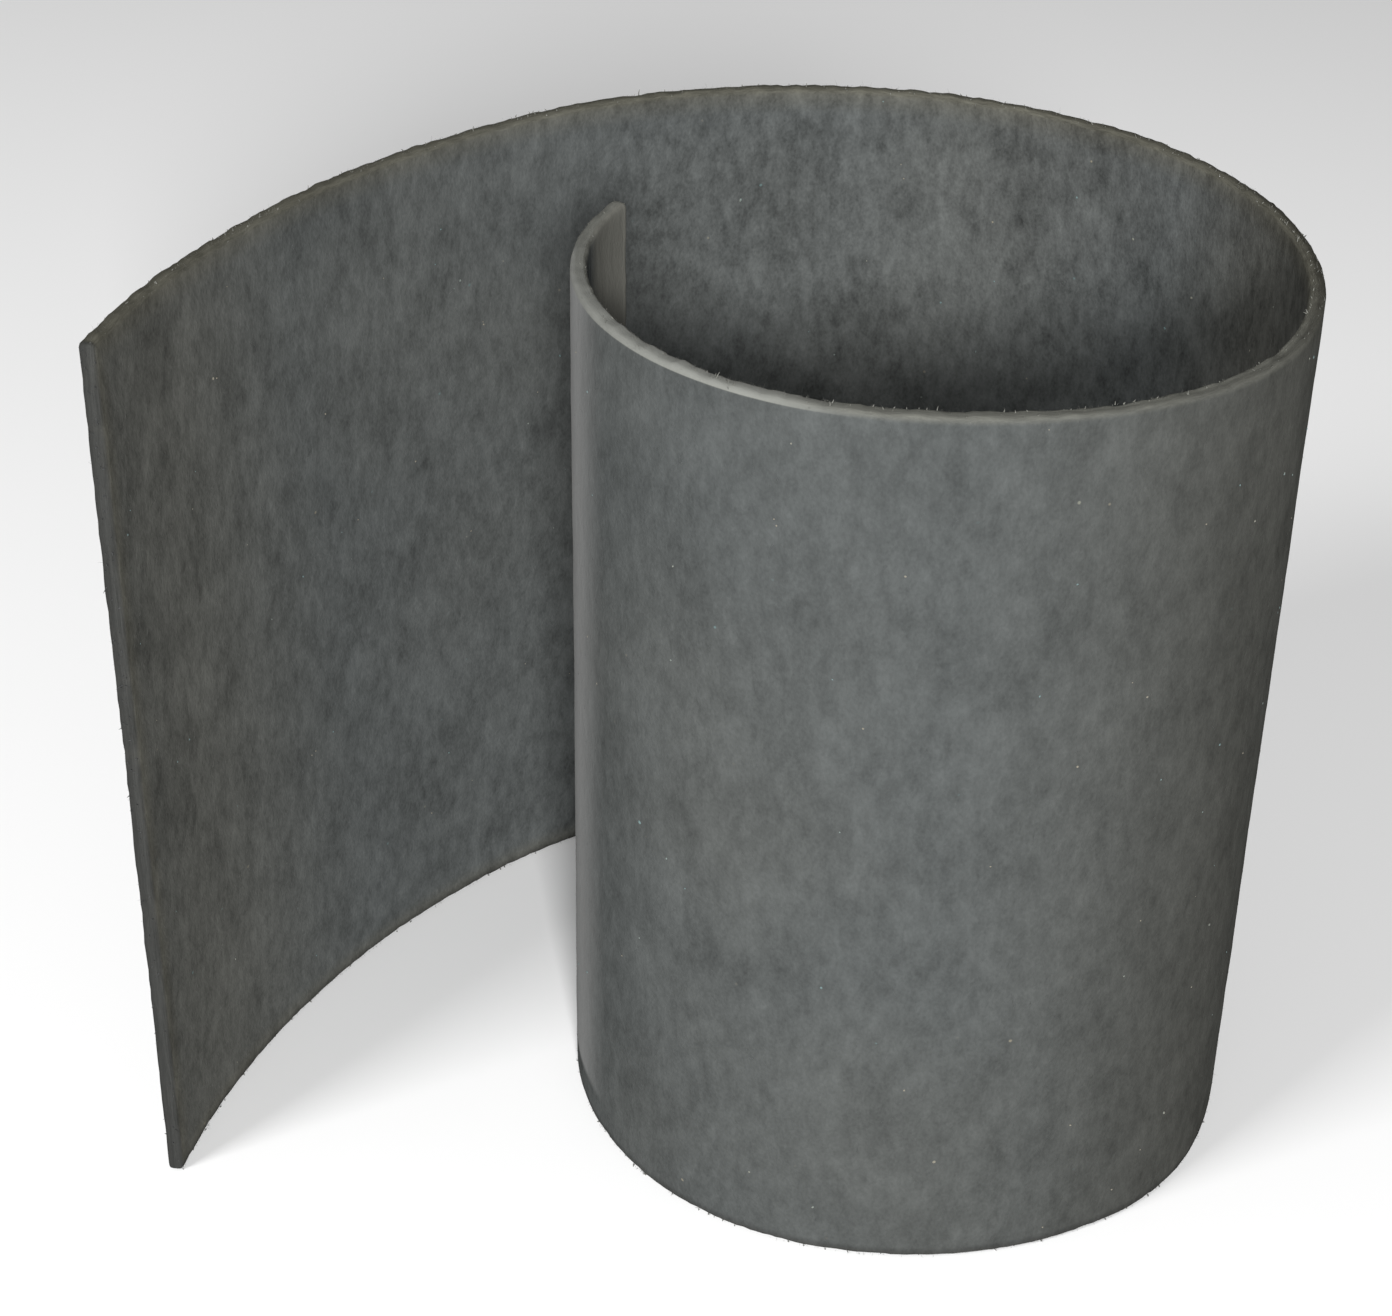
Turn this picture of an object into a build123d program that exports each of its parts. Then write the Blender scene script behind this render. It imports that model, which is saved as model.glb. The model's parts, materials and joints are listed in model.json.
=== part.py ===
from build123d import *
import math
import os

# A thick felt backdrop sheet. It stands on one long cut edge and is curled a little over one full
# turn, with an open hollow inside and a free tail. It has no core tube and no end caps.
# Seen from above, the middle of its thickness is a chain of tangent arcs that all turn to the left,
# from the inner end, round the front and the back, to the tip of the tail.

# ---- driving dimensions, in millimetres and degrees ----
sheet_height = 300.0            # width that the sheet was cut to, upright here
sheet_thickness = 5.0
inner_end_heading = 244.4       # way in which the sheet leaves its inner end, turned from +X

lap_radius = 102.0              # from the inner end round the left side
lap_turn = 102.0
front_radius = 127.0
front_turn = 46.0
shoulder_radius = 88.0          # the tightest bend, at the front right
shoulder_turn = 34.0
back_radius = 143.0             # right side and back
back_turn = 126.0
run_off_radius = 178.0          # where the back straightens towards the tail
run_off_turn = 32.0
tail_radius = 323.0
tail_length = 206.0             # free tail, measured along the sheet from the bend line

# The tail bends at one upright line. Its end there is relieved on both faces, so that it can swing.
tail_opens = 30.0               # swing away from the roll
tail_closes = 20.0              # swing towards the roll
relief_margin = 1.5             # spare angle left at either limit
bend_line_gap = 0.2             # running clearance at the bend line

# ---- worked out ----
half_thickness = sheet_thickness / 2
tail_turn = math.degrees(tail_length / tail_radius)

wrap_bends = [
    (lap_radius, lap_turn),
    (front_radius, front_turn),
    (shoulder_radius, shoulder_turn),
    (back_radius, back_turn),
    (run_off_radius, run_off_turn),
]


def along(heading, length):
    """A plan vector of this length in this direction."""
    angle = math.radians(heading)
    return Vector(length * math.cos(angle), length * math.sin(angle))


def follow(start, heading, bends):
    """Centre, start point and start heading of each bend in turn, then the point and heading after them."""
    places = []
    for radius, turn in bends:
        centre = start + along(heading + 90, radius)
        places.append((centre, radius, turn, heading))
        heading += turn
        start = centre - along(heading + 90, radius)
    return places, start, heading


def band(places):
    """Upright sheet of full thickness and height along these bends."""
    with BuildPart() as sheet:
        with BuildSketch():
            with BuildLine():
                for centre, radius, turn, heading in places:
                    CenterArc(centre, radius - half_thickness, heading - 90, turn)
                    CenterArc(centre, radius + half_thickness, heading - 90, turn)
                first_centre, first_radius, _, first_heading = places[0]
                last_centre, last_radius, last_turn, last_heading = places[-1]
                end_line(first_centre, first_radius, first_heading)
                end_line(last_centre, last_radius, last_heading + last_turn)
            make_face()
        extrude(amount=sheet_height)
    return sheet.part


def end_line(centre, radius, heading):
    """Cut end of the sheet, square across its thickness."""
    out = along(heading - 90, 1)
    Line(centre + out * (radius - half_thickness), centre + out * (radius + half_thickness))


def swing_relief(hinge, heading):
    """What the tail's end leaves free: a V each side of the bend line, as wide as the swing."""
    ahead = along(heading, 1)
    inwards = along(heading + 90, 1)
    reach = sheet_thickness
    apex = hinge + ahead * bend_line_gap
    slope_in = math.tan(math.radians(tail_closes + relief_margin))
    slope_out = math.tan(math.radians(tail_opens + relief_margin))
    corners = [
        apex,
        apex + (inwards + ahead * slope_in) * reach,
        hinge + (inwards - ahead) * reach,
        hinge - (inwards + ahead) * reach,
        apex + (ahead * slope_out - inwards) * reach,
    ]
    with BuildPart() as relief:
        with BuildSketch():
            with BuildLine():
                Polyline(*corners, close=True)
            make_face()
        extrude(amount=sheet_height)
    return relief.part


wrap_places, bend_line, bend_heading = follow(Vector(0, 0), inner_end_heading, wrap_bends)
tail_places, tail_tip, tip_heading = follow(bend_line, bend_heading, [(tail_radius, tail_turn)])

rolled_wrap = band(wrap_places)
free_tail = band(tail_places) - swing_relief(bend_line, bend_heading)

# The origin is under the middle of the whole plan, on the surface that the sheet stands on.
box = Compound([rolled_wrap, free_tail]).bounding_box()
to_middle = Vector(-box.center().X, -box.center().Y)

os.makedirs("parts", exist_ok=True)
for name, shape in {"rolled_wrap": rolled_wrap, "free_tail": free_tail}.items():
    export_step(shape.moved(Location(to_middle)), f"parts/{name}.step")

inner_end = Vector(0, 0) + to_middle
hinge = bend_line + to_middle
tip = tail_tip + to_middle
wrap_length = sum(radius * math.radians(turn) for radius, turn in wrap_bends)
print(f"inner end {inner_end.X:.3f} {inner_end.Y:.3f} heading {inner_end_heading:.2f}")
print(f"bend line {hinge.X:.3f} {hinge.Y:.3f} heading {bend_heading:.2f}")
print(f"tail tip {tip.X:.3f} {tip.Y:.3f} heading {tip_heading:.2f}")
print(f"sheet {sheet_height:.0f} by {wrap_length + tail_length:.1f} by {sheet_thickness:.0f} flat")
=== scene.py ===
# %% [markdown]
# # A curled sheet of backdrop felt
# The object is one length of thick grey felt. It stands on a long cut edge and is curled a little over
# one full turn, with a free tail. The CAD model holds it as two stiff panels, because a physics engine
# needs something that swings at one line. Here it becomes what it is: one soft, fibrous, unbroken sheet.
# Everything is in metres, in the frame of the CAD model.

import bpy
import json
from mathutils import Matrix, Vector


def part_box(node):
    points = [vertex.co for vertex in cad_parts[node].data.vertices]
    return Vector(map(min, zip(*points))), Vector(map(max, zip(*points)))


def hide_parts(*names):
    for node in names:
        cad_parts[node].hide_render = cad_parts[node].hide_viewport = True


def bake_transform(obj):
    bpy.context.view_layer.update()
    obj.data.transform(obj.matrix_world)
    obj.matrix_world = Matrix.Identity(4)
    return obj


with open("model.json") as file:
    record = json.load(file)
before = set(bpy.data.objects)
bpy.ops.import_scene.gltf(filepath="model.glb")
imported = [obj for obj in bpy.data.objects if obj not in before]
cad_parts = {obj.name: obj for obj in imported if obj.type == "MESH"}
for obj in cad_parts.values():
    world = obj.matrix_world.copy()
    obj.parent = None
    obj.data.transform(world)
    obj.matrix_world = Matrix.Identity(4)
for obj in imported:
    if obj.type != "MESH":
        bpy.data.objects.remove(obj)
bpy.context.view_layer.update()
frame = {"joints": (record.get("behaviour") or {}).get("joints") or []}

import json
import math
import random

import bmesh
import bpy
from mathutils import Matrix, Vector, noise

# %% [markdown]
# ## The plan of the curl
# Seen from above, the middle of the sheet's thickness is a chain of tangent arcs. Each arc is a radius
# and a turn to the left, from the inner end outwards. Only the first heading has to be known: where the
# chain lies comes from the joint, because the sheet crosses the bend line at the joint's own place.
# A table of arcs says more about how felt curls than a list of points would, and it is easy to change.

# %% Sizes and bends
MM = 0.001
roll_low, roll_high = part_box("rolled_wrap")
SHEET_HEIGHT = roll_high.z - roll_low.z
THICKNESS = 5 * MM
HALF = THICKNESS / 2
FIRST_HEADING = math.radians(244.4)
TAIL_RADIUS = 323 * MM
TAIL_LENGTH = 206 * MM
BENDS = [  # radius, turn
    (102 * MM, math.radians(102)),
    (127 * MM, math.radians(46)),
    (88 * MM, math.radians(34)),
    (143 * MM, math.radians(126)),
    (178 * MM, math.radians(32)),
    (TAIL_RADIUS, TAIL_LENGTH / TAIL_RADIUS),
]
WRAP_LENGTH = sum(radius * turn for radius, turn in BENDS[:-1])
SHEET_LENGTH = WRAP_LENGTH + TAIL_LENGTH
joint = frame["joints"][0]
bend_line = Vector(joint["pos_m"])
print(f"sheet {SHEET_HEIGHT:.3f} by {SHEET_LENGTH:.3f} m flat, {THICKNESS:.3f} m thick")


# %% Follow the arcs
def unit(angle):
    return Vector((math.cos(angle), math.sin(angle), 0))


def follow(point, heading):
    """Where each bend starts along the sheet, with its centre, radius and first angle."""
    arcs, start = [], 0.0
    for radius, turn in BENDS:
        centre = point + unit(heading + math.pi / 2) * radius
        arcs.append((start, centre, radius, heading - math.pi / 2))
        heading += turn
        point = centre + unit(heading - math.pi / 2) * radius
        start += radius * turn
    return arcs


def curl(arcs, place):
    """Take a point of the flat sheet (along, depth, height) to where it lies on the curled one."""
    along, depth, height = place
    reached = [arc for arc in arcs if along >= arc[0]] or arcs[:1]
    start, centre, radius, first = reached[-1]
    point = centre + unit(first + (along - start) / radius) * (radius - depth)
    return Vector((point.x, point.y, height))


trial = follow(Vector((0, 0, 0)), FIRST_HEADING)
shift = bend_line - curl(trial, (WRAP_LENGTH, 0, 0))
shift.z = 0
ARCS = [(start, centre + shift, radius, first) for start, centre, radius, first in trial]
print("inner end", [round(c, 4) for c in curl(ARCS, (0, 0, 0))])
print("tail tip ", [round(c, 4) for c in curl(ARCS, (SHEET_LENGTH, 0, 0))])

# %% [markdown]
# ## The camera
# The camera stands in front of the curl and looks down on it, with a long lens and a slight roll. It is
# made first, so that every later step can be looked at. The small shift keeps the curl off centre.

# %% Camera
camera_data = bpy.data.cameras.new("camera")
camera = bpy.data.objects.new("camera", camera_data)
bpy.context.scene.collection.objects.link(camera)
camera.location = (0.0062, -0.7833, 0.6154)
LOOK_DOWN = math.radians(30.93)
CAMERA_ROLL = math.radians(1.56)
tilt = Matrix.Rotation(math.pi / 2 - LOOK_DOWN, 3, "X")
camera.rotation_euler = (tilt @ Matrix.Rotation(CAMERA_ROLL, 3, "Z")).to_euler()
camera_data.lens = 70.1
camera_data.sensor_width = 36
camera_data.shift_x = -0.031
camera_data.shift_y = -0.003
bpy.context.scene.camera = camera
bpy.context.scene.view_settings.view_transform = "Standard"
print("camera at", tuple(round(c, 3) for c in camera.location))

# %% [markdown]
# ## The sheet, cut flat
# A real sheet is cut flat and then curled, and the mesh is made in that order too. A grid gets its
# thickness from solidify, and its cut edges are rounded by a bevel, because a knife leaves felt with
# soft arrises. The grid is close along the sheet, where it will bend and where the cut line wanders,
# and open up its height, where it stays straight.

# %% Cut the sheet
CELL_ALONG = 2.2 * MM
CELL_UP = 3.75 * MM
ARRIS = 1.5 * MM
SHARP = math.radians(60)


def cut_flat_sheet():
    sheet = bmesh.new()
    columns = round(SHEET_LENGTH / CELL_ALONG)
    rows = round(SHEET_HEIGHT / CELL_UP)
    bmesh.ops.create_grid(sheet, x_segments=columns, y_segments=rows, size=0.5)
    bmesh.ops.scale(sheet, vec=(SHEET_LENGTH, SHEET_HEIGHT, 1), verts=sheet.verts)
    upright = Matrix.Rotation(math.pi / 2, 3, "X")
    bmesh.ops.rotate(sheet, cent=(0, 0, 0), matrix=upright, verts=sheet.verts)
    bmesh.ops.solidify(sheet, geom=sheet.faces[:], thickness=THICKNESS)
    depths = [vert.co.y for vert in sheet.verts]
    middle = (min(depths) + max(depths)) / 2
    to_corner = (SHEET_LENGTH / 2, -middle, SHEET_HEIGHT / 2)
    bmesh.ops.translate(sheet, vec=to_corner, verts=sheet.verts)
    bmesh.ops.recalc_face_normals(sheet, faces=sheet.faces)
    arrises = [edge for edge in sheet.edges if edge.calc_face_angle(0) > SHARP]
    bmesh.ops.bevel(
        sheet, geom=arrises, affect="EDGES", offset=ARRIS, segments=3, profile=0.5, material=-1
    )
    return sheet


felt_mesh = cut_flat_sheet()
print("flat sheet", len(felt_mesh.verts), "vertices", len(felt_mesh.faces), "faces")

# %% [markdown]
# ## Making it felt
# Felt is never quite even. Its faces rise and sink by a tenth of a millimetre or two, and a cut edge
# wanders by up to a millimetre. Both are small moves of the flat sheet's vertices by a noise that depends
# only on where the vertex is, so the result is the same each time. The lower edge only ever moves up,
# because it stands on the floor. Each vertex then keeps its place on the flat sheet as an attribute:
# every pattern is drawn in that place, so it follows the felt round each bend.

# %% Uneven faces and wandering cuts
FACE_WAVES = [(45 * MM, 0.22 * MM), (14 * MM, 0.12 * MM), (5 * MM, 0.06 * MM)]  # size, height
CUT_WAVES = [(60 * MM, 0.45 * MM), (9 * MM, 0.45 * MM), (3.2 * MM, 0.55 * MM)]
CUT_REACH = 7 * MM


def waves(place, table):
    """Noise of several sizes, added up."""
    return sum(height * noise.noise(place / size) for size, height in table)


def towards(distance):
    """1 on a cut edge, falling smoothly to 0 at CUT_REACH from it."""
    share = min(max(1 - distance / CUT_REACH, 0), 1)
    return share * share * (3 - 2 * share)


def face_waves(along, side, height):
    """How far a face rises. The two faces read the noise far apart, so they don't rise together."""
    return waves(Vector((along, 0.3 * side, height)), FACE_WAVES)


def roughen(vert):
    along, depth, height = vert.co
    side = 1 if depth > 0 else -1
    top_cut = waves(Vector((along, depth * 0.5, 0.9)), CUT_WAVES)
    foot_cut = abs(waves(Vector((along, depth * 0.5, 0)), CUT_WAVES))
    end_cut = waves(Vector((0.7, depth * 0.5, height)), CUT_WAVES)
    vert.co.y += side * face_waves(along, side, height) * min(abs(depth) / HALF, 1)
    vert.co.z += top_cut * towards(SHEET_HEIGHT - height) + foot_cut * towards(height)
    vert.co.x += end_cut * (towards(along) + towards(SHEET_LENGTH - along))


for vert in felt_mesh.verts:
    roughen(vert)
print("depth now from", round(min(v.co.y for v in felt_mesh.verts), 5), "to",
      round(max(v.co.y for v in felt_mesh.verts), 5))


# %% Keep the flat place and curl the sheet
def lay_on_curl(bm, name):
    """Store each vertex's flat place, then take the vertices to the curled sheet, and make an object."""
    flat_places = [tuple(vert.co) for vert in bm.verts]
    for vert in bm.verts:
        vert.co = curl(ARCS, vert.co)
    for face in bm.faces:
        face.smooth = True
    mesh = bpy.data.meshes.new(name)
    bm.to_mesh(mesh)
    bm.free()
    stored = mesh.attributes.new("flat_place", "FLOAT_VECTOR", "POINT")
    stored.data.foreach_set("vector", [number for place in flat_places for number in place])
    piece = bpy.data.objects.new(name, mesh)
    bpy.context.scene.collection.objects.link(piece)
    return piece


felt_sheet = lay_on_curl(felt_mesh, "felt_sheet")
print("curled sheet", [round(side, 4) for side in felt_sheet.dimensions])

# %% [markdown]
# ## Loose fibres
# What makes felt look soft at its edges is not its surface but the fibres that stand out of it. Hair
# particles would be the quick way, but they are not a mesh and can't bend with the sheet. Each fibre is
# a short line of one curve object, with a very thin bevel. The curve is made a mesh once, and the mesh
# is then curled just as the sheet was, so a fibre stays rooted where it grew.

# %% A fibre
random.seed(7)
FIBRE_RADIUS = 0.035 * MM


def fibre_curve(name):
    curve = bpy.data.curves.new(name, "CURVE")
    curve.dimensions = "3D"
    curve.bevel_depth = FIBRE_RADIUS
    curve.bevel_resolution = 0
    curve.use_fill_caps = True
    return curve


def add_fibre(curve, root, way, length, joints, curliness, girth=1):
    """Grow one fibre from root: it starts out along way and wanders as it goes."""
    spline = curve.splines.new("POLY")
    spline.points.add(joints)
    place, heading = Vector(root), Vector(way).normalized()
    for number, point in enumerate(spline.points):
        point.co = (*place, 1)
        point.radius = girth * (1 - 0.75 * number / joints)
        drift = Vector([random.uniform(-1, 1) for _ in range(3)]) * curliness
        heading = (heading + drift).normalized()
        place = place + heading * length / joints


def grown(curve):
    """The curve's mesh as a bmesh, still on the flat sheet."""
    grower = bpy.data.objects.new("grower", curve)
    bpy.context.scene.collection.objects.link(grower)
    bpy.context.view_layer.update()
    mesh = bpy.data.meshes.new_from_object(grower.evaluated_get(bpy.context.evaluated_depsgraph_get()))
    bm = bmesh.new()
    bm.from_mesh(mesh)
    bpy.data.objects.remove(grower)
    bpy.data.meshes.remove(mesh)
    return bm


# %% [markdown]
# ## Fuzz on the cut edges
# A knife opens the felt, so most of the loose ends stand on the four cut edges. They are short, a
# millimetre or so, and point away from the cut with a wide spread. Some cling together as thick tufts,
# which make the outline of the sheet ragged. Along the foot they lie flat on the floor.

# %% Edge fuzz
FUZZ_PER_METRE = 2300
FOOT_SHARE = 0.6
FOOT_LOW, FOOT_BAND = 0.15 * MM, 2 * MM
INSET, FOOT_INSET = 0.96, 0.86
FUZZ_SPREAD = 0.55
LONG_SHARE, LONG_FACTOR = 0.06, 2.2
TUFT_SHARE, TUFT_GIRTH = 0.16, (4, 9)


def rounded_off(depth):
    """How far the arris has taken the felt away at this depth of a cut."""
    return ARRIS * (abs(depth) / HALF) ** 6


def fuzz_roots():
    """A root and an outward way for each loose end: upper edge, foot, inner end, tail end."""
    for _ in range(round(SHEET_LENGTH * FUZZ_PER_METRE)):
        along, depth = random.uniform(0, SHEET_LENGTH), random.uniform(-HALF, HALF)
        height = SHEET_HEIGHT - 0.1 * MM - rounded_off(depth)
        yield Vector((along, depth * INSET, height)), Vector((0, 0, 1))
    for _ in range(round(SHEET_LENGTH * FUZZ_PER_METRE * FOOT_SHARE)):
        side = random.choice((-1, 1))
        along, height = random.uniform(0, SHEET_LENGTH), FOOT_LOW + random.random() ** 2 * FOOT_BAND
        yield Vector((along, side * HALF * FOOT_INSET, height)), Vector((0, side, 0.1))
    for end, outward in ((0, -1), (SHEET_LENGTH, 1)):
        for _ in range(round(SHEET_HEIGHT * FUZZ_PER_METRE)):
            depth, height = random.uniform(-HALF, HALF), random.uniform(0.5 * MM, SHEET_HEIGHT)
            along = end - outward * rounded_off(depth)
            yield Vector((along, depth * INSET, height)), Vector((outward, 0, 0))


fuzz_curve = fibre_curve("edge_fuzz")
for root, way in fuzz_roots():
    spread = Vector([random.gauss(0, FUZZ_SPREAD) for _ in range(3)])
    tuft = random.random() < TUFT_SHARE
    length = random.uniform(0.35, 1.1) * MM * (LONG_FACTOR if random.random() < LONG_SHARE else 1)
    girth = random.uniform(*TUFT_GIRTH) if tuft else 1
    add_fibre(fuzz_curve, root, way + spread, length, joints=2, curliness=0.35, girth=girth)
edge_fuzz = lay_on_curl(grown(fuzz_curve), "edge_fuzz")
print("edge fuzz", len(edge_fuzz.data.polygons), "faces")

# %% [markdown]
# ## Stray fibres on the faces
# The needles that made the felt leave some long fibres lying on its faces. They are longer than the edge
# fuzz and hug the surface, so they only show close by, as fine lines that catch the light.

# %% Stray fibres
STRAY_COUNT = 3000
STRAY_REACH = HALF + 0.25 * MM


def place_on_face():
    """A random place on either face, clear of the cuts, and its side: 1 inside the curl, -1 outside."""
    side = random.choice((-1, 1))
    along = random.uniform(4 * MM, SHEET_LENGTH - 4 * MM)
    height = random.uniform(3 * MM, SHEET_HEIGHT - 3 * MM)
    surface = HALF + face_waves(along, side, height)
    return Vector((along, side * surface, height)), side


stray_curve = fibre_curve("stray_fibres")
for _ in range(STRAY_COUNT):
    root, side = place_on_face()
    way = Vector((random.gauss(0, 0.5), side * 0.12, random.choice((-1, 1))))
    length = random.uniform(2, 6) * MM
    add_fibre(stray_curve, root, way, length, joints=4, curliness=0.28)
stray_mesh = grown(stray_curve)
for vert in stray_mesh.verts:
    vert.co.y = min(max(vert.co.y, -STRAY_REACH), STRAY_REACH)
stray_fibres = lay_on_curl(stray_mesh, "stray_fibres")
print("stray fibres", len(stray_fibres.data.polygons), "faces")

# %% [markdown]
# ## Lint
# Pale specks of lint sit here and there on both faces. Each is a small squashed ball, half sunk into the
# felt, and every one has its own size. An icosphere of eighty faces is enough for so small a thing.

# %% Lint specks
LINT_COUNT = 420


def lint_specks():
    bm = bmesh.new()
    for _ in range(LINT_COUNT):
        root, _side = place_on_face()
        radius = random.uniform(0.16, 0.34) * MM * (1.5 if random.random() < 0.12 else 1)
        shape = Matrix.Diagonal((random.uniform(0.8, 1.5), 0.55, random.uniform(0.8, 1.5), 1))
        turn = Matrix.Rotation(random.uniform(0, math.pi), 4, "Y")
        bmesh.ops.create_icosphere(
            bm, subdivisions=2, radius=radius, matrix=Matrix.Translation(root) @ turn @ shape
        )
    return bm


lint = lay_on_curl(lint_specks(), "lint")
print("lint", len(lint.data.polygons), "faces")

# %% [markdown]
# ## Finishes
# All the materials are built from nodes and read one thing: the flat place stored on each vertex, which
# is how far along the sheet, how deep in its thickness and how high it lies. A short helper adds a node,
# sets its sockets and links what is given as a socket. The others are the few sums that every finish needs.


# %% Node helpers
def add(tree, kind, settings=None, **sockets):
    """Add a node. settings are its properties; sockets are input names with spaces as underscores."""
    made = tree.nodes.new(kind)
    for name, value in (settings or {}).items():
        setattr(made, name, value)
    for name, value in sockets.items():
        put(tree, made.inputs[name.replace("_", " ")], value)
    return made


def put(tree, socket, value):
    """Link a socket, or set a plain value."""
    if isinstance(value, bpy.types.NodeSocket):
        tree.links.new(value, socket)
    else:
        socket.default_value = value


def maths(tree, operation, *values):
    made = add(tree, "ShaderNodeMath", {"operation": operation})
    for socket, value in zip(made.inputs, values):
        put(tree, socket, value)
    return made.outputs[0]


def mapped(tree, value, low, high, to_low=0.0, to_high=1.0):
    """Take a value from low..high to to_low..to_high, smoothly and clamped."""
    made = add(tree, "ShaderNodeMapRange", {"interpolation_type": "SMOOTHSTEP"}, Value=value)
    for name, number in (("From Min", low), ("From Max", high), ("To Min", to_low), ("To Max", to_high)):
        made.inputs[name].default_value = number
    return made.outputs[0]


def between(tree, value, starts, full, fades, ends):
    """1 while value is between full and fades, falling smoothly to 0 at starts and ends."""
    rise, fall = mapped(tree, value, starts, full), mapped(tree, value, fades, ends, 1.0, 0.0)
    return maths(tree, "MULTIPLY", rise, fall)


def product(tree, first, *others):
    """Several masks multiplied together."""
    for other in others:
        first = maths(tree, "MULTIPLY", first, other)
    return first


def times(tree, tone, share, factor):
    """Multiply tone by factor where share is 1, and leave it as it is where share is 0."""
    return maths(tree, "MULTIPLY", tone, mapped(tree, share, 0.0, 1.0, 1.0, factor))


def stretched(tree, place, factors):
    """Multiply a place by three factors."""
    made = add(tree, "ShaderNodeVectorMath", {"operation": "MULTIPLY"})
    put(tree, made.inputs[0], place)
    made.inputs[1].default_value = factors
    return made.outputs[0]


def toned(tree, colour, tone):
    """Make a colour lighter or darker."""
    made = add(tree, "ShaderNodeVectorMath", {"operation": "SCALE"}, Scale=tone)
    put(tree, made.inputs[0], colour)
    return made.outputs[0]


def mixed(tree, share, first, second):
    """Mix two colours: the first where share is 0, the second where it is 1."""
    made = add(tree, "ShaderNodeMix", {"data_type": "RGBA"})
    for socket, value in ((made.inputs[0], share), (made.inputs[6], first), (made.inputs[7], second)):
        put(tree, socket, value)
    return made.outputs[2]


def group(name, inputs, outputs):
    """An empty node group, with the two nodes that stand for its sockets inside it."""
    tree = bpy.data.node_groups.new(name, "ShaderNodeTree")
    for label, kind in inputs:
        tree.interface.new_socket(label, in_out="INPUT", socket_type=kind)
    for label, kind in outputs:
        tree.interface.new_socket(label, in_out="OUTPUT", socket_type=kind)
    return tree, tree.nodes.new("NodeGroupInput"), tree.nodes.new("NodeGroupOutput")


# %% [markdown]
# ### Mottle
# Felt is blended from fibres of several greys, which never mix evenly. The eye sees it at four sizes:
# broad clouds, clumps a centimetre or so wide, streaks that lean the way the fibres were carded, and a
# fine grain. Each is a noise texture, and they are added up as a tone near 1 and as a height for bump.
# The depth is stretched before the noise reads it, so the two faces differ and a cut edge shows the
# lengthwise lines of its layers.
#
# The inside of the curl has kept a pale, lively nap, and the free tail is calmer.
# Where the curl turns away at the side, its outside is painted darker and warmer: painted shade. The grey
# is warmer towards both ends too.

# %% Mottle group
FLOAT, VECTOR = "NodeSocketFloat", "NodeSocketVector"
# size across, stretch along the fibres, lean, share of the tone, share of the height
MOTTLE = {
    "clouds": (60 * MM, 1.3, 40, 0.12, 0.0),
    "clumps": (14 * MM, 1.5, 35, 0.31, 0.3),
    "streaks": (4.0 * MM, 1.9, 24, 0.34, 0.5),
    "grain": (1.0 * MM, 1.4, -25, 0.24, 0.35),
}
DEPTH_STRETCH = 14
INNER_CONTRAST, INNER_TONE = 1.67, 1.18
TAIL_CONTRAST, TAIL_TONE = 0.78, 1.04
# painted shade: the outside is darker where the curl turns away at the side
SIDE_SHADE_TONE = 0.72
# how far along the sheet each stretch starts, is full, fades and ends
SIDE_SHADE_SPAN = (205 * MM, 330 * MM, 420 * MM, 500 * MM)
INNER_END_WARM_FADES = (24 * MM, 36 * MM)
FREE_STARTS = (WRAP_LENGTH - 130 * MM, WRAP_LENGTH + 30 * MM)
WARM_TAIL_STARTS = (SHEET_LENGTH - 150 * MM, SHEET_LENGTH - 30 * MM)


def mottle_group():
    tree, start, end = group(
        "Felt mottle", [("Place", VECTOR)], [("Tone", FLOAT), ("Warmth", FLOAT), ("Height", FLOAT)]
    )
    apart = stretched(tree, start.outputs["Place"], (1, DEPTH_STRETCH, 1))
    tone, height = 1.0, 0.0
    for size, stretch, lean, tone_share, height_share in MOTTLE.values():
        turned = add(
            tree,
            "ShaderNodeMapping",
            Vector=apart,
            Rotation=(0, math.radians(lean), 0),
            Scale=(1 / size, 1 / size, 1 / size / stretch),
        )
        cloud = add(
            tree, "ShaderNodeTexNoise", Vector=turned.outputs[0], Scale=1.0, Detail=3.0, Roughness=0.55
        )
        centred = maths(tree, "SUBTRACT", cloud.outputs["Fac"], 0.5)
        tone = maths(tree, "MULTIPLY_ADD", centred, tone_share * 2, tone)
        if height_share:
            height = maths(tree, "MULTIPLY_ADD", centred, height_share, height)
    parts = add(tree, "ShaderNodeSeparateXYZ", Vector=start.outputs["Place"])
    along = parts.outputs["X"]
    inside = mapped(tree, parts.outputs["Y"], -HALF * 0.5, HALF * 0.5)
    outside = maths(tree, "SUBTRACT", 1.0, inside)
    on_tail = mapped(tree, along, *FREE_STARTS)
    side_shade = between(tree, along, *SIDE_SHADE_SPAN)
    contrast = times(tree, times(tree, 1.0, inside, INNER_CONTRAST), on_tail, TAIL_CONTRAST)
    tone = maths(tree, "MULTIPLY_ADD", maths(tree, "SUBTRACT", tone, 1.0), contrast, 1.0)
    tone = times(tree, tone, inside, INNER_TONE)
    tone = times(tree, tone, on_tail, TAIL_TONE)
    # painted shade on the outside where the curl turns away; the same stretch is made warmer below
    tone = times(tree, tone, product(tree, side_shade, outside), SIDE_SHADE_TONE)
    drift = add(tree, "ShaderNodeTexNoise", Vector=apart, Scale=6.0, Detail=2.0)
    warmth = maths(tree, "MULTIPLY", mapped(tree, drift.outputs["Fac"], 0.40, 0.70), 0.3)
    inner_end_warmth = maths(tree, "MULTIPLY", mapped(tree, along, *INNER_END_WARM_FADES, 1.0, 0.0), inside)
    for share in (inner_end_warmth, mapped(tree, along, *WARM_TAIL_STARTS), side_shade):
        warmth = maths(tree, "MAXIMUM", warmth, share)
    put(tree, end.inputs["Tone"], tone)
    put(tree, end.inputs["Height"], height)
    put(tree, end.inputs["Warmth"], warmth)
    return tree


MOTTLE_TREE = mottle_group()
print("mottle nodes", len(MOTTLE_TREE.nodes))
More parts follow.
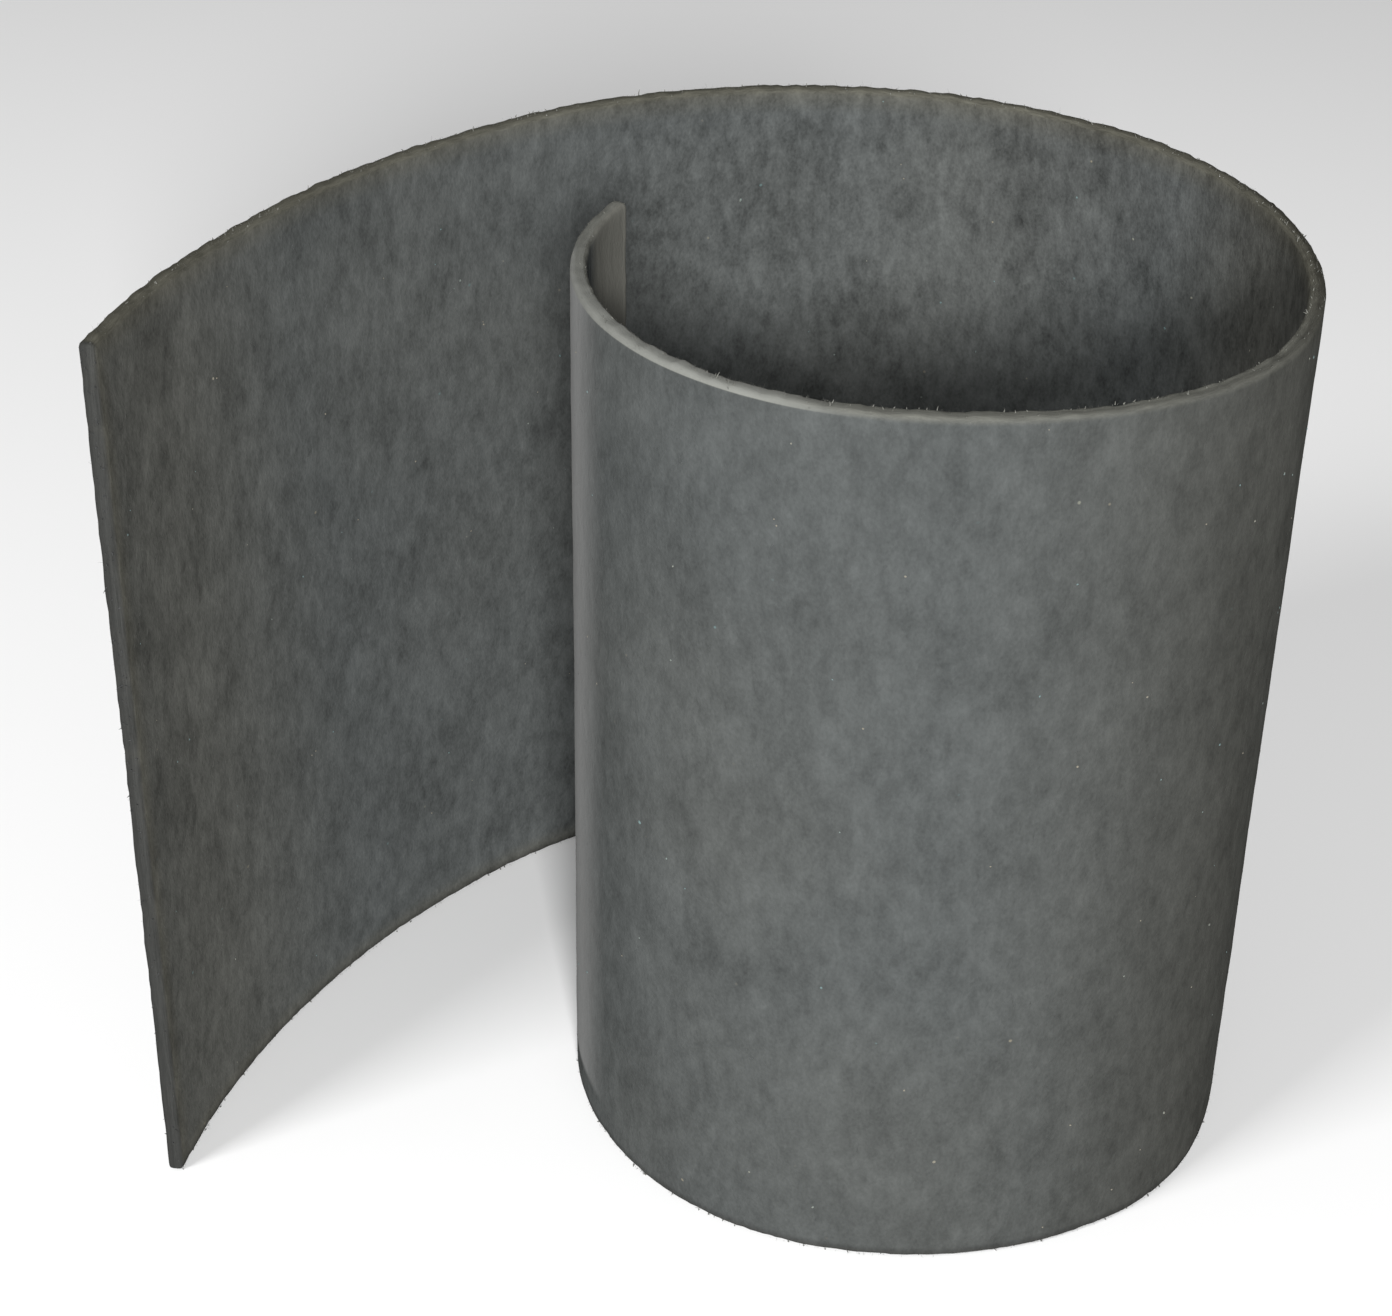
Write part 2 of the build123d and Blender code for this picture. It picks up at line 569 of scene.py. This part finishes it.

# %% [markdown]
# ### Cut edges
# The knife pressed the fibres together, so a cut edge is smoother than the faces and takes a tint of its
# own: olive along the first third of the sheet and brownish past it. The end of the tail is painted dark,
# no lighter than the face beside it: painted shade. The mask is how near the place is to the nearest cut,
# on the flat sheet.


# %% Cut edge group
def cut_group():
    tree, start, end = group("Cut edge", [("Place", VECTOR), ("Reach", FLOAT)], [("Mask", FLOAT)])
    parts = add(tree, "ShaderNodeSeparateXYZ", Vector=start.outputs["Place"])
    along, height = parts.outputs["X"], parts.outputs["Z"]
    from_ends = maths(tree, "MINIMUM", along, maths(tree, "SUBTRACT", SHEET_LENGTH, along))
    from_long = maths(tree, "MINIMUM", height, maths(tree, "SUBTRACT", SHEET_HEIGHT, height))
    nearest = maths(tree, "MINIMUM", from_ends, from_long)
    share = maths(tree, "DIVIDE", nearest, start.outputs["Reach"])
    put(tree, end.inputs["Mask"], mapped(tree, share, 0.0, 1.0, 1.0, 0.0))
    return tree


CUT_TREE = cut_group()
print("cut edge nodes", len(CUT_TREE.nodes))

# %% [markdown]
# ### The felt
# The base colour is a cool and a warm grey, drifting into each other. Towards each cut the felt is
# stained, the cut itself has its own tint, and the foot is painted dark: painted shade. The mottle's tone
# multiplies all of these. On top come faint flecks of cream and blue fibre, and three patches of painted
# light: a pale band down the outside near the inner end, which is a painted rim highlight, a paler inside
# of that end, which is painted light where it lies in shade, and its upper edge, pale and flat, which is a
# painted highlight. Roughness stays high with a little variation, and bump gives the nap. Felt has no gloss
# of its own, so its specular level is nil: any more would put a sheen on it where it turns away.

# %% Colours and small helpers
COOL_GREY = (0.0562, 0.0602, 0.0595, 1)
WARM_GREY = (0.0610, 0.0615, 0.0560, 1)
CUT_GREY = (0.0640, 0.0620, 0.0495, 1)
# painted shade: the dark end of the tail
TAIL_END_SHADE = (0.0215, 0.0223, 0.0224, 1)
STAIN_BROWN = (0.0660, 0.0630, 0.0505, 1)
# painted light: the paler olive inside the inner end, which lies in shade
LIT_END_OLIVE = (0.150, 0.148, 0.131, 1)
CUT_OLIVE = (0.105, 0.105, 0.092, 1)
# painted highlight for the upper edge beside the inner end
EDGE_HIGHLIGHT_OLIVE = (0.162, 0.165, 0.152, 1)
# painted shade: the dark grey at the foot
FOOT_SHADE_GREY = (0.0270, 0.0275, 0.0265, 1)
# painted rim highlight for the band down the outside near the inner end
RIM_HIGHLIGHT_GREY = (0.210, 0.211, 0.208, 1)
CREAM, PALE_BLUE = (0.17, 0.155, 0.12, 1), (0.10, 0.15, 0.15, 1)


def use(tree, inner, **sockets):
    return add(tree, "ShaderNodeGroup", {"node_tree": inner}, **sockets)


def new_material(name):
    """A material with its node tree, its shader and the flat place."""
    material = bpy.data.materials.new(name)
    material.use_nodes = True
    tree = material.node_tree
    shader = tree.nodes["Principled BSDF"]
    place = add(tree, "ShaderNodeAttribute", {"attribute_name": "flat_place"}).outputs["Vector"]
    return material, tree, shader, place


def shaded_tail_end(tree, along):
    """1 on the cut at the end of the tail, which is painted dark: painted shade."""
    return mapped(tree, along, SHEET_LENGTH - 3.0 * MM, SHEET_LENGTH - 0.6 * MM)


# %% Flecks
FLECK_SPACING = 17 * MM
FLECK_RADIUS = 0.75 * MM


def flecks(tree, place):
    """A mask of small soft spots, and their colour."""
    factors = (1 / FLECK_SPACING, 40 / FLECK_SPACING, 1 / FLECK_SPACING)
    spots = add(
        tree,
        "ShaderNodeTexVoronoi",
        {"voronoi_dimensions": "3D"},
        Vector=stretched(tree, place, factors),
        Scale=1.0,
    )
    radius = FLECK_RADIUS / FLECK_SPACING
    mask = mapped(tree, spots.outputs["Distance"], radius * 0.4, radius, 1.0, 0.0)
    hues = add(tree, "ShaderNodeSeparateColor", Color=spots.outputs["Color"])
    strength = mapped(tree, hues.outputs[1], 0.2, 1.0, 0.1, 0.75)
    colour = mixed(tree, mapped(tree, hues.outputs[0], 0.45, 0.55), CREAM, PALE_BLUE)
    return maths(tree, "MULTIPLY", mask, strength), colour


# %% Painted light and highlights
# the pale band is a painted rim highlight
RIM_HIGHLIGHT_SPAN = (36 * MM, 44 * MM, 66 * MM, 98 * MM)  # starts, full, fades, ends
RIM_HIGHLIGHT_STARTS_UP = (10 * MM, 14 * MM)
LIT_END_FADES = (22 * MM, 40 * MM)
# the pale upper edge is a painted highlight
EDGE_HIGHLIGHT_GROWS, EDGE_HIGHLIGHT_FADES = (5 * MM, 90 * MM), (152 * MM, 190 * MM)


def painted_rim_highlight(tree, along, depth, height):
    """The outside near the inner end, painted pale from just above the foot to the top: a painted rim
    highlight.
    """
    across = between(tree, along, *RIM_HIGHLIGHT_SPAN)
    outside = mapped(tree, depth, -HALF * 0.8, -HALF * 0.2, 1.0, 0.0)
    return product(tree, across, outside, mapped(tree, height, *RIM_HIGHLIGHT_STARTS_UP))


def painted_light_inner_end(tree, along, depth):
    """The inside of the inner end, painted a paler olive where it lies in shade, most of all on its arris:
    painted light.
    """
    reach = mapped(tree, along, *LIT_END_FADES, 1.0, 0.0)
    arris = mapped(tree, along, 2.6 * MM, 3.4 * MM, 1.0, 0.75)
    return product(tree, reach, arris, mapped(tree, depth, 0.0, HALF * 0.9))


def painted_edge_highlight(tree, along, depth, height):
    """The upper cut edge beside the inner end, pale on its flat top with a crisp outline: a painted
    highlight.
    """
    grows = mapped(tree, along, *EDGE_HIGHLIGHT_GROWS, 0.25, 1.0)
    fades = mapped(tree, along, *EDGE_HIGHLIGHT_FADES, 1.0, 0.0)
    outer = mapped(tree, depth, HALF - 1.3 * MM, HALF - 0.9 * MM, 1.0, 0.0)
    upper = mapped(tree, height, SHEET_HEIGHT - 2.1 * MM, SHEET_HEIGHT - 1.7 * MM)
    return product(tree, grows, fades, outer, upper)


# %% Felt material
TINT_REACH, STAIN_REACH = 2.6 * MM, 10 * MM
FIRST_THIRD_FADES = (300 * MM, 400 * MM)
# the foot darkness is painted shade; the share of the pale outside band is a painted highlight
STAIN_SHARE, CUT_SHARE, FOOT_SHADE_DARKNESS, RIM_HIGHLIGHT_SHARE = 0.6, 0.85, 0.75, 0.8


def stained_cut_and_shaded(tree, place, grey, cut):
    """The grey with its stained margins and tinted cuts, with painted shade on the end of the tail and at
    the foot.
    """
    along, _depth, height = add(tree, "ShaderNodeSeparateXYZ", Vector=place).outputs
    first_third = mapped(tree, along, *FIRST_THIRD_FADES, 1.0, 0.0)
    near_cut = use(tree, CUT_TREE, Place=place, Reach=STAIN_REACH).outputs["Mask"]
    past_it = maths(tree, "MULTIPLY", maths(tree, "SUBTRACT", 1.0, first_third), STAIN_SHARE)
    stained = mixed(tree, maths(tree, "MULTIPLY", near_cut, past_it), grey, STAIN_BROWN)
    long_cut = mixed(tree, first_third, CUT_GREY, CUT_OLIVE)
    # painted shade on the end of the tail
    cut_colour = mixed(tree, shaded_tail_end(tree, along), long_cut, TAIL_END_SHADE)
    edged = mixed(tree, maths(tree, "MULTIPLY", cut, CUT_SHARE), stained, cut_colour)
    # painted shade: darker towards the foot
    foot = mapped(tree, height, 0.8 * MM, 4.5 * MM, FOOT_SHADE_DARKNESS, 0.0)
    return mixed(tree, foot, edged, FOOT_SHADE_GREY)


def felt_material():
    material, tree, shader, place = new_material("felt")
    along, depth, height = add(tree, "ShaderNodeSeparateXYZ", Vector=place).outputs
    mottle = use(tree, MOTTLE_TREE, Place=place)
    tone = mottle.outputs["Tone"]
    cut = use(tree, CUT_TREE, Place=place, Reach=TINT_REACH).outputs["Mask"]
    grey = mixed(tree, mottle.outputs["Warmth"], COOL_GREY, WARM_GREY)
    felt_grey = toned(tree, stained_cut_and_shaded(tree, place, grey, cut), tone)
    fleck_mask, fleck_colour = flecks(tree, place)
    colour = mixed(tree, fleck_mask, felt_grey, fleck_colour)
    # painted rim highlight down the outside near the inner end
    rim_highlight = maths(tree, "MULTIPLY", painted_rim_highlight(tree, along, depth, height), RIM_HIGHLIGHT_SHARE)
    colour = mixed(tree, rim_highlight, colour, RIM_HIGHLIGHT_GREY)
    # painted light on the inside of the inner end
    colour = mixed(tree, painted_light_inner_end(tree, along, depth), colour, LIT_END_OLIVE)
    # painted highlight on the upper edge beside the inner end
    colour = mixed(tree, painted_edge_highlight(tree, along, depth, height), colour, EDGE_HIGHLIGHT_OLIVE)
    put(tree, shader.inputs["Base Color"], colour)
    put(tree, shader.inputs["Roughness"], mapped(tree, tone, 0.7, 1.3, 0.98, 0.86))
    nap = times(tree, mottle.outputs["Height"], cut, 0.45)
    bump = add(tree, "ShaderNodeBump", Strength=0.8, Distance=0.6 * MM, Height=nap)
    put(tree, shader.inputs["Normal"], bump.outputs[0])
    shader.inputs["Specular IOR Level"].default_value = 0.0
    return material


felt_sheet.data.materials.append(felt_material())
print("felt finish on", felt_sheet.name)

# %% [markdown]
# ### Fibres and lint
# A loose fibre is a strand of the same felt, so it uses the same mottle group, and it takes the tint of
# the cut that it stands on. It keeps its gloss, so it catches the light. Lint is cream or bluish, and its
# tint drifts from speck to speck.


# %% Fibre and lint materials
def fibre_material():
    material, tree, shader, place = new_material("fibre")
    mottle = use(tree, MOTTLE_TREE, Place=place)
    cut = use(tree, CUT_TREE, Place=place, Reach=2.5 * MM).outputs["Mask"]
    grey = mixed(tree, mottle.outputs["Warmth"], COOL_GREY, WARM_GREY)
    along = add(tree, "ShaderNodeSeparateXYZ", Vector=place).outputs["X"]
    # painted shade on the end of the tail, as on the felt
    cut_colour = mixed(tree, shaded_tail_end(tree, along), CUT_OLIVE, TAIL_END_SHADE)
    colour = toned(tree, mixed(tree, cut, grey, cut_colour), mottle.outputs["Tone"])
    put(tree, shader.inputs["Base Color"], colour)
    put(tree, shader.inputs["Roughness"], mapped(tree, mottle.outputs["Tone"], 0.7, 1.3, 0.8, 0.65))
    return material


def lint_material():
    material, tree, shader, place = new_material("lint")
    drift = add(tree, "ShaderNodeTexNoise", Vector=place, Scale=60.0, Detail=1.0)
    fine = add(tree, "ShaderNodeTexNoise", Vector=place, Scale=4000.0, Detail=2.0)
    tint = mixed(tree, mapped(tree, drift.outputs["Fac"], 0.42, 0.58), CREAM, PALE_BLUE)
    shade = mapped(tree, fine.outputs["Fac"], 0.3, 0.7, 0.75, 1.1)
    put(tree, shader.inputs["Base Color"], toned(tree, tint, shade))
    put(tree, shader.inputs["Roughness"], mapped(tree, fine.outputs["Fac"], 0.3, 0.7, 0.95, 0.8))
    return material


FIBRE = fibre_material()
edge_fuzz.data.materials.append(FIBRE)
stray_fibres.data.materials.append(FIBRE)
lint.data.materials.append(lint_material())
print("materials", sorted(material.name for material in bpy.data.materials if material.users))

# %% [markdown]
# ## The pieces in place
# The tail swings on one line in the physics model, and real felt spreads that bend over its length. Here
# each piece only has its placement baked into its mesh, and the two CAD panels are hidden.

# %% Bake the pieces and hide the CAD panels
for piece in (felt_sheet, edge_fuzz, stray_fibres, lint):
    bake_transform(piece)
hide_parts("rolled_wrap", "free_tail")

# %% [markdown]
# ## Floor and light
# A plain pale floor and a dim, even sky fill the shadows softly. A soft key lamp stands far off in front,
# at a lower angle than the camera. It reaches the upper part of the inside but not its foot, and the felt
# falls off in tone towards its sides. A weaker and wider fill lamp at the left keeps the shadows readable.

# %% Floor, sky and lamps
FLOOR_RADIUS = 6
FLOOR_TONE = 0.92
SKY_STRENGTH = 0.22
LAMP_AIM = (0, 0, 0.15)
LAMPS = {  # place, size, power
    "key": ((0.30, -3.72, 1.60), (0.8, 0.6), 236),
    "fill": ((-2.5, -2.1, 2.45), (1.2, 1.2), 88),
}


def pale_floor():
    bm = bmesh.new()
    bmesh.ops.create_circle(bm, cap_ends=True, segments=96, radius=FLOOR_RADIUS)
    mesh = bpy.data.meshes.new("floor")
    bm.to_mesh(mesh)
    bm.free()
    floor = bpy.data.objects.new("floor", mesh)
    bpy.context.scene.collection.objects.link(floor)
    material = bpy.data.materials.new("floor")
    material.use_nodes = True
    shader = material.node_tree.nodes["Principled BSDF"]
    shader.inputs["Base Color"].default_value = (FLOOR_TONE, FLOOR_TONE, FLOOR_TONE, 1)
    shader.inputs["Roughness"].default_value = 0.9
    shader.inputs["Specular IOR Level"].default_value = 0.1
    mesh.materials.append(material)


def even_sky():
    world = bpy.data.worlds.new("sky")
    world.use_nodes = True
    background = world.node_tree.nodes["Background"]
    background.inputs["Color"].default_value = (1, 1, 1, 1)
    background.inputs["Strength"].default_value = SKY_STRENGTH
    bpy.context.scene.world = world


def soft_lamp(name, place, size, power):
    data = bpy.data.lights.new(name, "AREA")
    data.shape = "RECTANGLE"
    data.size, data.size_y = size
    data.energy = power
    lamp = bpy.data.objects.new(name, data)
    bpy.context.scene.collection.objects.link(lamp)
    lamp.location = place
    lamp.rotation_euler = (Vector(LAMP_AIM) - Vector(place)).to_track_quat("-Z", "Y").to_euler()


pale_floor()
even_sky()
for name, (place, size, power) in LAMPS.items():
    soft_lamp(name, place, size, power)
print("lights", [lamp.name for lamp in bpy.data.lights])
